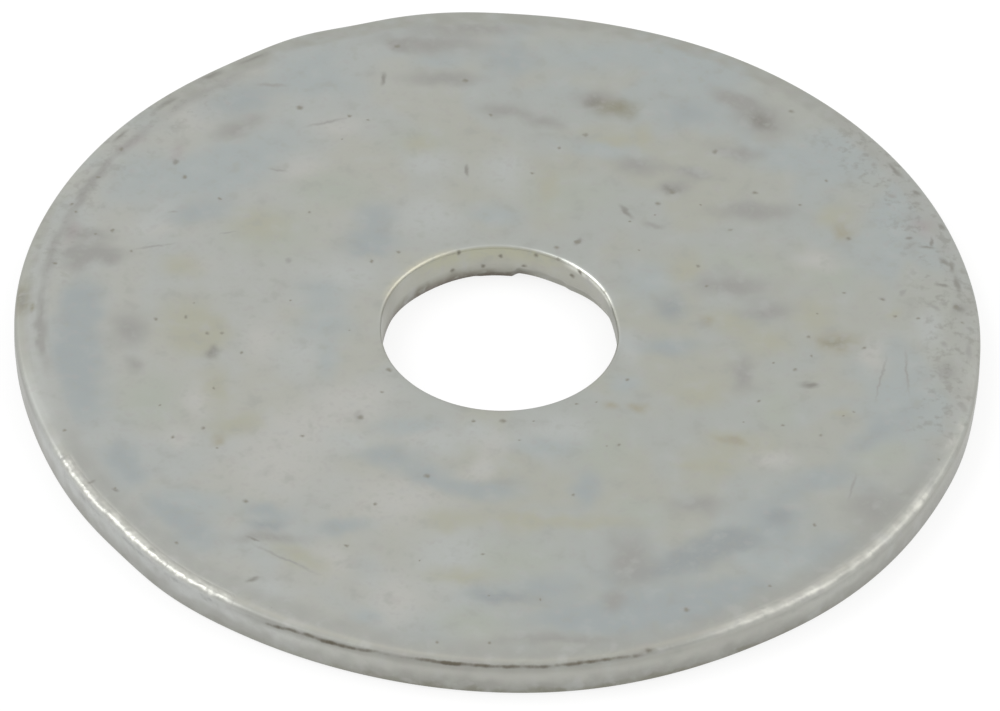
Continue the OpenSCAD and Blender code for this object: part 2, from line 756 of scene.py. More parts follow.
RIM_PATCHES: PatchTable = {
    # Painted highlight: bright lumps on the rim's corner at the right
    Tone.PEARL: (
        Patch((961, 427), 0.2, 0.12, 75),
        Patch((951, 444), 0.3, 0.14, 65),
    ),
    # Painted shade: dots where the corner's crease ends
    Tone.PAINTED_CREASE_SHADE: (
        Patch((650, 650), 0.14, 0.08, 15),
        Patch((636, 655), 0.2, 0.06, 15),
    ),
    Tone.OLIVE: (
        Patch((22, 299), 0.8, 0.34, 90),
        Patch((34, 309), 0.2, 0.08, 90),
    ),
    Tone.SOOT_AND_SHADE: (
        Patch((22, 300), 0.5, 0.16, 90),
        Patch((165, 105), 0.5, 0.12, 45),
        Patch((211, 76), 0.45, 0.12, 30),
        Patch((254, 59), 0.6, 0.1, 30),
        Patch((120, 137), 0.4, 0.08, 60),
    ),
}

STROKES: dict[Tone, tuple[Stroke, ...]] = {
    Tone.SMOKE: (
        Stroke((265, 168), (291, 172), 0.07),
        Stroke((58, 252), (122, 250), 0.1),
        Stroke((216, 234), (240, 231), 0.05),
        Stroke((246, 541), (327, 578), 0.07),
        Stroke((888, 350), (874, 407), 0.055),
        Stroke((905, 344), (909, 400), 0.055),
        Stroke((290, 256), (287, 265), 0.1),
        Stroke((300, 128), (352, 117), 0.08),
        Stroke((640, 222), (668, 229), 0.14),
        Stroke((250, 84), (292, 86), 0.1),
        Stroke((870, 162), (877, 168), 0.1),
        Stroke((885, 193), (897, 199), 0.12),
        Stroke((907, 288), (898, 297), 0.09),
        Stroke((876, 297), (888, 300), 0.1),
        Stroke((928, 303), (942, 312), 0.09),
        Stroke((940, 340), (947, 347), 0.12),
        Stroke((938, 362), (942, 384), 0.09),
        Stroke((941, 381), (953, 384), 0.1),
        Stroke((960, 400), (967, 412), 0.14),
        Stroke((968, 338), (970, 362), 0.12),
        Stroke((848, 505), (857, 468), 0.06),
        Stroke((166, 213), (180, 211), 0.06),
        Stroke((128, 250), (182, 242), 0.06),
    ),
    Tone.SOOT_AND_SHADE: (
        Stroke((384, 70), (382, 88), 0.09),
        Stroke((467, 162), (467, 178), 0.08),
        Stroke((244, 583), (262, 576), 0.1),
        Stroke((803, 385), (820, 384), 0.09),
        Stroke((618, 203), (634, 220), 0.11),
        Stroke((574, 246), (583, 237), 0.11),
        Stroke((86, 482), (98, 479), 0.08),
        Stroke((110, 488), (121, 492), 0.08),
        Stroke((176, 158), (174, 166), 0.11),
        Stroke((246, 536), (262, 542), 0.07),
        Stroke((885, 159), (905, 179), 0.1),
        Stroke((912, 188), (922, 195), 0.1),
        Stroke((903, 238), (914, 238), 0.08),
        Stroke((917, 246), (937, 249), 0.1),
        Stroke((931, 236), (931, 249), 0.07),
        Stroke((938, 221), (946, 229), 0.12),
        Stroke((936, 256), (953, 267), 0.12),
        Stroke((951, 258), (952, 274), 0.09),
        Stroke((934, 284), (951, 287), 0.09),
        Stroke((955, 273), (960, 295), 0.12),
        Stroke((952, 303), (965, 313), 0.16),
    ),
}

PITS: tuple[Pits, ...] = (
    Pits(
        0.17,
        (
            (300, 108), (397, 46), (465, 81), (585, 135), (791, 111), (715, 152), (389, 370),
            (361, 417), (427, 476), (687, 610), (184, 177), (578, 242), (556, 248), (659, 204),
            (503, 421), (245, 501), (848, 239), (672, 192), (956, 307), (755, 193),
        ),
    ),
    Pits(
        0.12,
        (
            (72, 204), (113, 230), (95, 234), (76, 212), (55, 263), (98, 177), (122, 149),
            (220, 199), (864, 348), (939, 458), (962, 322), (349, 116), (559, 148), (491, 115),
            (533, 173), (731, 230), (826, 181), (156, 319),
            (186, 317), (208, 333), (222, 333), (64, 430), (203, 428), (173, 437), (302, 436),
            (241, 353), (382, 392), (473, 421), (619, 445), (577, 404), (628, 380), (398, 252),
            (372, 261), (845, 293), (895, 316), (808, 337), (698, 266), (707, 286), (883, 299),
            (918, 318), (795, 370), (759, 401), (783, 425), (821, 435), (376, 504), (573, 495),
            (483, 554), (346, 546), (489, 643), (815, 525), (770, 586), (176, 543), (437, 642),
            (112, 231), (131, 251), (310, 212), (800, 205),
        ),
    ),
    Pits(
        0.08,
        (
            (342, 139), (368, 120), (194, 303), (214, 388), (217, 448), (160, 405), (606, 446),
            (596, 402), (630, 221), (817, 314), (811, 356), (774, 363), (744, 422), (854, 412),
            (843, 416), (489, 596), (272, 607), (115, 488), (533, 421), (460, 340), (700, 205),
            (640, 250), (655, 215), (520, 440), (350, 330), (290, 300), (420, 560), (540, 600),
        ),
    ),
)

BORE_PITS = Pits(
    0.15,
    (
        (459, 253), (501, 256), (536, 256), (558, 258), (483, 266), (453, 270), (525, 266),
        (580, 272), (604, 291), (572, 275),
    ),
)


@dataclass(frozen=True)
class Lobe:
    """A slight wave in a round outline, which the blanking press left."""

    waves: int
    height: float
    toward: float

    def push(self, azimuth: np.ndarray) -> np.ndarray:
        """Give how far the outline stands out at each direction, in millimetres."""
        return self.height * np.cos(self.waves * (azimuth - math.radians(self.toward)))


@dataclass(frozen=True)
class Bulge:
    """A shallow swell in a round outline or, where its height is below zero, a flat."""

    toward: float
    spread: float
    height: float

    def push(self, azimuth: np.ndarray) -> np.ndarray:
        """Give how far the outline stands out at each direction, in millimetres."""
        away = degrees_from(azimuth, self.toward) / self.spread
        return self.height * np.exp(-away * away / 2)


@dataclass
class SheetSection:
    """The washer's section in the plane of the axis, as a closed line."""

    rim_r: float
    bore_r: float
    sheet_t: float
    roll_w: float = 1.1
    roll_r: float = 3.75
    corner_r: float = 0.25
    rim_tear_h: float = 0.6
    rim_tear_in: float = 0.04
    foot_r: float = 0.12
    mouth_r: float = 0.14
    bore_tear_h: float = 0.85
    edge_band: float = 0.6
    under_strips: int = 4
    foot_strips: int = 5
    rim_tear_strips: int = 6
    rim_land_strips: int = 5
    corner_strips: int = 12
    roll_strips: int = 8
    face_strips: int = 60
    mouth_strips: int = 5
    bore_land_strips: int = 5
    bore_tear_strips: int = 9

    @property
    def roll_slope(self) -> float:
        """Slope of the roll where it runs into the corner, in radians."""
        return math.asin((self.roll_w - self.corner_r) / (self.roll_r - self.corner_r))

    @property
    def corner_z(self) -> float:
        """Height of the corner's centre."""
        reach = self.roll_r - self.corner_r
        return self.sheet_t - self.roll_r + reach * math.cos(self.roll_slope)

    @staticmethod
    def arc(
        centre: SectionPoint, radius: float, start: float, end: float, strips: int
    ) -> list[SectionPoint]:
        """Give the points of a round stretch of the section.

        Args:
            centre: Centre of the arc as radius and height.
            radius: Radius of the arc.
            start: Direction of its first point, in radians.
            end: Direction of its last point, in radians.
            strips: Number of straight strips.

        Returns:
            Points as radius and height.
        """
        turns = np.linspace(start, end, strips + 1)
        return [(centre[0] + radius * math.cos(a), centre[1] + radius * math.sin(a)) for a in turns]

    @staticmethod
    def run(start: SectionPoint, end: SectionPoint, strips: int) -> list[SectionPoint]:
        """Give the points between two corners of the section, without the corners.

        Args:
            start: The first corner.
            end: The second corner.
            strips: Number of straight strips between them.

        Returns:
            Points as radius and height.
        """
        shares = np.linspace(0, 1, strips + 1)[1:-1]
        across = end[0] - start[0]
        up = end[1] - start[1]
        return [(start[0] + across * share, start[1] + up * share) for share in shares]

    def line(self) -> list[SectionPoint]:
        """Draw the whole section.

        Returns:
            Its points, from the foot of the bore round the rim and back to that foot.
        """
        quarter = math.pi / 2
        foot_x = self.rim_r - self.rim_tear_in - self.foot_r
        bore_foot = (self.bore_r, 0.0)
        inner_band = (self.bore_r + self.edge_band, 0.0)
        outer_band = (foot_x - self.edge_band, 0.0)
        foot = self.arc((foot_x, self.foot_r), self.foot_r, -quarter, 0, self.foot_strips)
        tear_top = (self.rim_r, self.rim_tear_h)
        corner_at = (self.rim_r - self.corner_r, self.corner_z)
        corner_end = quarter - self.roll_slope
        corner = self.arc(corner_at, self.corner_r, 0, corner_end, self.corner_strips)
        roll_at = (self.rim_r - self.roll_w, self.sheet_t - self.roll_r)
        roll = self.arc(roll_at, self.roll_r, corner_end, quarter, self.roll_strips)[1:]
        mouth_at = (self.bore_r + self.mouth_r, self.sheet_t - self.mouth_r)
        mouth = self.arc(mouth_at, self.mouth_r, quarter, 2 * quarter, self.mouth_strips)
        bore_tear_top = (self.bore_r, self.bore_tear_h)
        return [
            bore_foot,
            inner_band,
            *self.run(inner_band, outer_band, self.under_strips),
            outer_band,
            *foot,
            *self.run(foot[-1], tear_top, self.rim_tear_strips),
            tear_top,
            *self.run(tear_top, corner[0], self.rim_land_strips),
            *corner,
            *roll,
            *self.run(roll[-1], mouth[0], self.face_strips),
            *mouth,
            *self.run(mouth[-1], bore_tear_top, self.bore_land_strips),
            bore_tear_top,
            *self.run(bore_tear_top, bore_foot, self.bore_tear_strips),
            bore_foot,
        ]


@dataclass
class TornFoot:
    """The torn foot of the bore: a cone off the axis, with a tongue and a nick."""

    height: float = 0.45
    out: float = 0.2
    shift: float = 0.16
    toward: float = -25.0
    tongue_at: float = 83.0
    tongue_sweep: float = 18.0
    tongue_out: float = 0.07
    nick_sweep: float = 26.0
    nick_height: float = 0.6
    nick_out: float = 0.28
    side_soft: float = 2.0

    def window(self, azimuth: np.ndarray, start: float, sweep: float) -> np.ndarray:
        """Give 1 inside a stretch of the turn and 0 outside, with soft sides."""
        half = sweep / 2
        return Stretch(start + half, half - self.side_soft, 2 * self.side_soft).share(azimuth)

    def shape(self, azimuth: np.ndarray) -> tuple[np.ndarray, np.ndarray]:
        """Give the tear's height and its flare at each direction.

        Args:
            azimuth: Directions from +X, in radians.

        Returns:
            Heights and flares in millimetres.
        """
        lean = np.cos(azimuth - math.radians(self.toward))
        flare = self.out + self.shift * lean
        height = self.height * (1 + self.shift / self.out * lean)
        tongue = self.window(azimuth, self.tongue_at, self.tongue_sweep)
        nick = self.window(azimuth, self.tongue_at - self.nick_sweep, self.nick_sweep)
        flare = flare + (self.tongue_out - flare) * tongue
        flare = flare + (self.nick_out - flare) * nick
        height = height + (self.nick_height - height) * nick
        return height, flare


@dataclass
class Surface:
    """The points of the washer's mesh.

    Attributes:
        place: Each point in millimetres.
        radius: Its distance from the axis before the outline got its lobes.
        azimuth: Its direction from the axis, in radians.
        level: Its height in millimetres.
        depth: How deep it lies in the torn foot of the bore, from 0 at its top to 1 at the
            bottom face, and below 0 everywhere else.
    """

    place: np.ndarray
    radius: np.ndarray
    azimuth: np.ndarray
    level: np.ndarray
    depth: np.ndarray

    def waves(self, scale: float, octaves: int = 2) -> np.ndarray:
        """Give a soft random wave in three directions at each point.

        Args:
            scale: Waves a millimetre.
            octaves: Number of layers, each twice as fine and half as high.

        Returns:
            Three heights a point, from about -1 to 1.
        """
        total = np.zeros_like(self.place)
        for octave in range(octaves):
            pitch = scale * 2**octave
            layer = [noise.noise_vector(Vector(point) * pitch) for point in self.place]
            total += np.array(layer) / 2**octave
        return total

    def facing(self, *stretches: Stretch) -> np.ndarray:
        """Give the sum of some stretches of the turn at each point."""
        return sum(stretch.share(self.azimuth) for stretch in stretches)


@dataclass(frozen=True)
class Wash:
    """A tone laid softly over a zone of the washer.

    Attributes:
        tone: The tone.
        stretch: Stretch of the turn over which it lies, or none.
        base: Share that it has all round besides.
        band: Rise over the measure of the zone, or none.
        blotch: How uneven the ripple makes it, as a part of its share.
    """

    tone: Tone
    stretch: Stretch | None = None
    base: float = 0.0
    band: Rise | None = None
    blotch: float = 0.0


# The bands of the roll rise over the distance inside the rim, and all others over the height
# Painted light and shade on the roll: lighter facing left, darker far, right and in front
ROLL_LIGHT_AND_SHADE_WASHES: tuple[Wash, ...] = (
    Wash(Tone.ROLL_LEFT_PAINTED_LIGHT, Stretch(188, 20, 14, 0.9), band=Rise(1.4, 1.0)),
    Wash(Tone.ROLL_FAR_PAINTED_SHADE, Stretch(174, 12, 8, 0.9), band=Rise(0.6, 0.3)),
    Wash(Tone.ROLL_FAR_PAINTED_SHADE, Stretch(88, 42, 16, 0.8), band=Rise(1.0, 0.7), blotch=1.125),
    Wash(Tone.ROLL_RIGHT_PAINTED_SHADE, Stretch(10, 28, 14, 0.7), band=Rise(1.0, 0.7)),
    Wash(Tone.ROLL_NEAR_PAINTED_SHADE, Stretch(-90, 62, 14), band=Rise(1.5, 0.3)),
)
# Wall: painted light on the left, painted shade in front and right, foot torn and in shade
WALL_TONE_LIGHT_AND_SHADE_WASHES: tuple[Wash, ...] = (
    Wash(Tone.WALL, base=1.0),
    Wash(Tone.WALL_LEFT_PAINTED_LIGHT, Stretch(215, 18, 22, 0.8)),
    Wash(Tone.WALL_FRONT_PAINTED_SHADE, Stretch(-78, 18, 20, 0.8)),
    Wash(Tone.WALL_RIGHT_PAINTED_SHADE, Stretch(-16, 16, 16, 0.8)),
    Wash(Tone.WALL_DARKER_TORN_AND_SHADE, Stretch(-78, 18, 20, 0.2), base=0.7, band=Rise(0.95, 0.4)),
    Wash(Tone.WALL_FOOT_TORN_AND_SHADE, Stretch(-78, 18, 20, 0.65), base=0.35, band=Rise(0.4, 0.05)),
    Wash(Tone.WALL_DARKER_TORN_AND_SHADE, Stretch(180, 14, 8, 0.6)),
)
BORE_WASHES: tuple[Wash, ...] = (
    Wash(Tone.BORE, base=1.0),
    Wash(Tone.BORE_FAR, Stretch(97, 22, 24), band=Rise(0.6, 1.3)),
    Wash(Tone.BORE_RIGHT, Stretch(4, 14, 14)),
    Wash(Tone.BORE_TORN_AND_SHADE, Stretch(174, 14, 14, 0.5)),
)
TORN_WASHES: tuple[Wash, ...] = (Wash(Tone.BORE_TORN_AND_SHADE, Stretch(130, 42, 18, 0.5), base=0.3),)
# Darker low on the bore's wall on the left: partly torn metal, partly painted shade
BORE_FOOT_TORN_AND_SHADE_WASHES: tuple[Wash, ...] = (
    Wash(Tone.BORE_TORN_AND_SHADE, Stretch(130, 42, 18), band=Rise(0.65, 0.15)),
    Wash(Tone.BORE_EDGE_TORN_AND_SHADE, Stretch(130, 42, 18), band=Rise(0.4, 0.08)),
)
# Painted highlights along the bore's mouth, bright on the right and yellowish on the left
MOUTH_HIGHLIGHT_WASHES: tuple[Wash, ...] = (
    Wash(Tone.FROST, Stretch(38, 14, 12, 0.5)),
    Wash(Tone.MOUTH_LEFT_PAINTED_HIGHLIGHT, Stretch(138, 18, 12, 0.5)),
)
# Painted highlight along the mouth's edge on the right
MOUTH_EDGE_HIGHLIGHT_WASHES: tuple[Wash, ...] = (Wash(Tone.MOUTH_RIGHT_PAINTED_HIGHLIGHT, Stretch(38, 13, 10)),)


@dataclass
class Skin:
    """The soft tones of the washer, worked out at each point of its mesh.

    An inset is a distance inside the rim, an outset one outside the land of the bore, and a
    drop one below the top face. The way over the rim's corner grows outwards and downwards,
    and is about -1.4 in the middle of the corner. All are in millimetres. A pair of shares holds
    near the bore and near the rim.
    """

    surface: Surface
    section: SheetSection
    view: PhotoView
    colour: np.ndarray = field(init=False)
    drift: np.ndarray = field(init=False)
    ripple: np.ndarray = field(init=False)
    drift_scale: float = 0.45
    ripple_scale: float = 1.6
    cloud_scale: float = 0.3
    cloud_octaves: int = 3
    outer_inset: Rise = Rise(7.0, 3.0)
    blue_clouds: Rise = Rise(0.15, -0.25)
    blue_shares: tuple[float, float] = (0.25, 0.75)
    straw_clouds: Rise = Rise(-0.05, 0.35)
    straw_shares: tuple[float, float] = (0.4, 0.1)
    left_side: Rise = Rise(4.0, -9.0)
    left_share: float = 0.35
    patch_spread: float = 1.7
    patch_drop: Rise = Rise(0.6, 0.3)
    patch_drift: float = 0.2
    roll_drop: Rise = Rise(0.4, 0.2)
    roll_drift: float = 0.15
    roll_patch_drift: float = 0.08
    roll_line: Line = Line(0.95, 0.28, 0.02)
    roll_line_stretch: Stretch = Stretch(157, 26, 12)
    roll_line_share: Uneven = Uneven(0.9, 0.8)
    wall_inset: Rise = Rise(0.2, 0.06)
    wall_drop: Rise = Rise(0.16, 0.3)
    wall_drift: float = 0.25
    corner_drift: float = 0.05
    fringe_line: Line = Line(-1.72, 0.22)
    fringe_stretch: Stretch = Stretch(-94, 58, 12, 0.3)
    # Painted highlight along the corner; its stretches also set the beads and lower roughness
    painted_highlight_line: Line = Line(-1.56, 0.4, 0.06)
    wear_and_highlight_left_stretch: Stretch = Stretch(-139, 14, 5)
    wear_and_highlight_left_share: Uneven = Uneven(0.6, 0.9)
    wear_and_highlight_right_stretch: Stretch = Stretch(-42, 13, 11)
    wear_and_highlight_right_share: Uneven = Uneven(0.55, 0.7)
    # Painted shade along the crease of the rim's corner in front, with a soft darker band round it
    crease_way: float = -1.42
    crease_path: tuple[Stretch, ...] = (
        Stretch(-117, 8, 8, 0.11),
        Stretch(-121, 3, 5, 0.13),
        Stretch(-101, 6, 5, 0.03),
        Stretch(-70, 6, 10, -0.07),
    )
    crease_line: Line = Line(0.0, 0.22)
    crease_stretch: Stretch = Stretch(-96, 19, 12)
    crease_share: Uneven = Uneven(0.8, 0.4)
    crease_ripple: float = 0.3
    crease_changes: tuple[Stretch, ...] = (Stretch(-118, 6, 5, -0.2), Stretch(-92, 4, 3, 0.2))
    crease_shade_halo_line: Line = Line(0.0, 0.34, 0.05)
    crease_shade_halo_stretch: Stretch = Stretch(-96, 19, 12, 0.45)
    bead_line: Line = Line(-1.4, 0.45, 0.2)
    bead_right_share: float = 0.7
    dull_line: Line = Line(-1.4, 0.45, 0.25)
    polished: tuple[Stretch, ...] = (Stretch(-139, 15, 5), Stretch(-42, 20, 8, 0.5))
    bore_outset: Rise = Rise(0.45, 0.3)
    bore_drop: Rise = Rise(0.01, 0.08)
    bore_drift: float = 0.12
    torn_depth: Rise = Rise(0.0, 0.4)
    torn_drift: float = 0.15
    mouth_outset: Rise = Rise(0.3, 0.1)
    mouth_drop: Rise = Rise(0.14, 0.04)
    edge_outset: Rise = Rise(0.12, 0.04)
    edge_drop: Rise = Rise(0.2, 0.12)
    scuff_inset: Rise = Rise(2.9, 1.3)
    scuff_drop: Rise = Rise(0.3, 0.15)
    scuff_drift: float = 0.4
    scuff_stretches: tuple[Stretch, ...] = (Stretch(12, 26, 10), Stretch(152, 16, 14, 0.6))

    def __post_init__(self) -> None:
        """Start with the plain plate, and work out the random waves."""
        self.colour = np.tile(np.array(Tone.PLATE.value), (len(self.surface.radius), 1))
        self.drift = self.surface.waves(self.drift_scale)
        self.ripple = self.surface.waves(self.ripple_scale)

    @property
    def inset(self) -> np.ndarray:
        """How far each point lies inside the rim."""
        return self.section.rim_r - self.surface.radius

    @property
    def outset(self) -> np.ndarray:
        """How far each point lies outside the land of the bore."""
        return self.surface.radius - self.section.bore_r

    @property
    def drop(self) -> np.ndarray:
        """How far each point lies below the top face."""
        return self.section.sheet_t - self.surface.level

    @property
    def way(self) -> np.ndarray:
        """How far each point lies on the way over the rim's corner."""
        uneven = self.corner_drift * self.ripple[:, 2]
        return uneven - self.inset - self.surface.level

    def lay(self, share: np.ndarray, tone: Tone) -> None:
        """Lay a tone over the skin by a share at each point."""
        self.colour += np.clip(share, 0, 1)[:, None] * (np.array(tone.value) - self.colour)

    def wash(self, zone: np.ndarray, measure: np.ndarray, washes: Iterable[Wash]) -> None:
        """Lay tones over a zone of the washer, one after the other.

        Args:
            zone: Share of the zone at each point.
            measure: The value at each point over which the bands of the washes rise.
            washes: The tones and where they lie.
        """
        for wash in washes:
            turn = self.surface.facing(wash.stretch) if wash.stretch else 0.0
            share = zone * (wash.base + turn) * (1 + wash.blotch * self.ripple[:, 1])
            if wash.band:
                share = share * wash.band.share(measure)
            self.lay(share, wash.tone)

    def drawn(self, place: np.ndarray, marks: Iterable[Mark]) -> np.ndarray:
        """Draw soft marks, so that those that touch run into each other.

        Args:
            place: Place of each point in millimetres.
            marks: The marks to draw.

        Returns:
            The share of the marks at each point.
        """
        total = np.zeros(len(place))
        for mark in marks:
            east = place[:, 0] - mark.centre[0]
            north = place[:, 1] - mark.centre[1]
            along = east * math.cos(mark.lean) + north * math.sin(mark.lean)
            across = north * math.cos(mark.lean) - east * math.sin(mark.lean)
            total += np.clip(1 - np.hypot(along / mark.long, across / mark.wide), 0, None)
        return soft_step(0.0, 1.0, total)

    def lay_patches(self, table: PatchTable, level: float, drift: np.ndarray, zone: Rise) -> None:
        """Lay the soft patches of a table.

        Args:
            table: Patches by their tone.
            level: Height of the surface on which the photograph shows them.
            drift: Shift of each point, which makes their outlines uneven.
            zone: Rise over the drop, outside of which nothing is laid.
        """
        inside = zone.share(self.drop)
        for tone, patches in table.items():
            marks = [patch.on(self.view, level, self.patch_spread) for patch in patches]
            self.lay(self.drawn(self.surface.place + drift, marks) * inside, tone)

    def tone_plate(self) -> None:
        """Lay the plate's tints all over, a lighter tone to the left, and the top face's patches.
        """
        clouds = self.surface.waves(self.cloud_scale, self.cloud_octaves)[:, 0]
        outer = self.outer_inset.share(self.inset)
        blue = self.blue_clouds.share(clouds) * np.interp(outer, (0, 1), self.blue_shares)
        straw = self.straw_clouds.share(clouds) * np.interp(outer, (0, 1), self.straw_shares)
        pearl = self.left_side.share(self.surface.place[:, 0]) * self.left_share
        self.lay(blue, Tone.AZURE)
        self.lay(straw, Tone.STRAW)
        self.lay(pearl, Tone.PEARL)
        drift = self.patch_drift * (self.drift + self.ripple)
        self.lay_patches(PATCHES, self.section.sheet_t, drift, self.patch_drop)

    def tone_roll(self) -> None:
        """Lay the roll's painted light and shade, a soft dark line on its left, and its spots."""
        uneven = self.inset - self.roll_drift * self.ripple[:, 0]
        self.wash(self.roll_drop.share(self.drop), uneven, ROLL_LIGHT_AND_SHADE_WASHES)
        line = self.roll_line.share(uneven) * self.roll_line_share.share(self.drift[:, 1])
        self.lay(line * self.surface.facing(self.roll_line_stretch), Tone.SMOKE)
        level = self.section.corner_z + self.section.corner_r
        self.lay_patches(RIM_PATCHES, level, self.roll_patch_drift * self.ripple, self.roll_drop)

    def tone_wall(self) -> None:
        """Lay the rim wall's tone with painted light and shade; its torn foot is also darker."""
        wall = self.wall_inset.share(self.inset) * self.wall_drop.share(self.drop)
        ragged = self.surface.level + self.wall_drift * self.ripple[:, 1]
        self.wash(wall, ragged, WALL_TONE_LIGHT_AND_SHADE_WASHES)

    def tone_corner(self) -> None:
        """Lay the rim corner's fringe, painted highlight, and painted shade beside its crease."""
        facing = self.surface.facing
        self.lay(self.fringe_line.share(self.way) * facing(self.fringe_stretch), Tone.FRINGE)
        # Painted highlight on the corner's two bright stretches
        wear_and_highlight = self.wear_and_highlight_left() + self.wear_and_highlight_right()
        self.lay(self.painted_highlight_line.share(self.way) * wear_and_highlight, Tone.PAINTED_HIGHLIGHT)
        # Soft painted shade beside the crease in front
        crease_shade_halo = self.crease_shade_halo_line.share(self.below_crease()) * facing(self.crease_shade_halo_stretch)
        self.lay(crease_shade_halo, Tone.SOOT_AND_SHADE)

    def tone_bore(self) -> None:
        """Lay the bore's wall, its torn foot with painted shade, and its mouth's painted
        highlights.
        """
        level = self.surface.level
        wall = self.bore_outset.share(self.outset) * self.bore_drop.share(self.drop)
        self.wash(wall, level, BORE_WASHES)
        self.wash(self.torn(), level, TORN_WASHES)
        # Darker low on the left: partly torn metal, partly painted shade
        self.wash(wall, level + self.bore_drift * self.ripple[:, 1], BORE_FOOT_TORN_AND_SHADE_WASHES)
        mouth = self.mouth_outset.share(self.outset) * self.mouth_drop.share(self.drop)
        # Painted highlights along the mouth and its edge
        self.wash(mouth, level, MOUTH_HIGHLIGHT_WASHES)
        edge = self.edge_outset.share(self.outset) * self.edge_drop.share(self.drop)
        self.wash(edge, level, MOUTH_EDGE_HIGHLIGHT_WASHES)

    def below_crease(self) -> np.ndarray:
        """Give how far each point lies out and down from the crease in the rim's corner."""
        return self.way - self.crease_way - self.surface.facing(*self.crease_path)

    def crease(self) -> np.ndarray:
        """Give the share of the painted shade along the crease, which the shader then makes ragged.

        Returns:
            Shares from 0 to a little over 1.
        """
        facing = self.surface.facing
        broken = self.crease_share.share(self.drift[:, 2]) + self.crease_ripple * self.ripple[:, 0]
        share = broken + facing(*self.crease_changes)
        return self.crease_line.share(self.below_crease()) * share * facing(self.crease_stretch)

    def wear_and_highlight_left(self) -> np.ndarray:
        """Give the left stretch of the rim's corner: its beaded wear and its painted highlight."""
        share = self.wear_and_highlight_left_share.share(self.ripple[:, 0])
        return self.surface.facing(self.wear_and_highlight_left_stretch) * share

    def wear_and_highlight_right(self) -> np.ndarray:
        """Give the right stretch of the rim's corner: its beaded wear and its painted highlight."""
        share = self.wear_and_highlight_right_share.share(self.ripple[:, 1])
        return self.surface.facing(self.wear_and_highlight_right_stretch) * share

    def torn(self) -> np.ndarray:
        """Give the share of the torn foot of the bore."""
        return self.torn_depth.share(self.surface.depth + self.torn_drift * self.ripple[:, 0])

    def beaded(self) -> np.ndarray:
        """Give the share of the beaded corner between the roll and the wall of the rim."""
        wear_and_highlight = np.clip(self.wear_and_highlight_left() + self.bead_right_share * self.wear_and_highlight_right(), 0, 1)
        return self.bead_line.share(self.way) * wear_and_highlight

    def dull(self) -> np.ndarray:
        """Give the share of dull metal: the torn foot and the corner off its polished stretches."""
        corner = self.dull_line.share(self.way) * (1 - self.surface.facing(*self.polished))
        return np.maximum(self.torn(), corner)

    def scuffed(self) -> np.ndarray:
        """Give the share of the scuffs along the rim.

        Returns:
            Shares from 0 to 1.
        """
        inset = self.inset - self.scuff_drift * self.drift[:, 0]
        ring = self.scuff_inset.share(inset) * self.scuff_drop.share(self.drop)
        return ring * self.surface.facing(*self.scuff_stretches)

    def paint(self, mesh: bpy.types.Mesh) -> None:
        """Work out all tones and keep them with the mesh.

        Args:
            mesh: The washer's mesh, whose points are those of the surface.
        """
        self.tone_plate()
        self.tone_roll()
        self.tone_wall()
        self.tone_corner()
        self.tone_bore()
        tones = mesh.attributes.new("skin_tone", "FLOAT_COLOR", "POINT")
        tones.data.foreach_set("color", self.colour.ravel())
        shares = {
            "dull_share": self.dull(),
            "corner_share": self.beaded(),
            "crease_share": self.crease(),
            "scuff_share": self.scuffed(),
        }
        for name, share in shares.items():
            attribute = mesh.attributes.new(name, "FLOAT", "POINT")
            attribute.data.foreach_set("value", share)


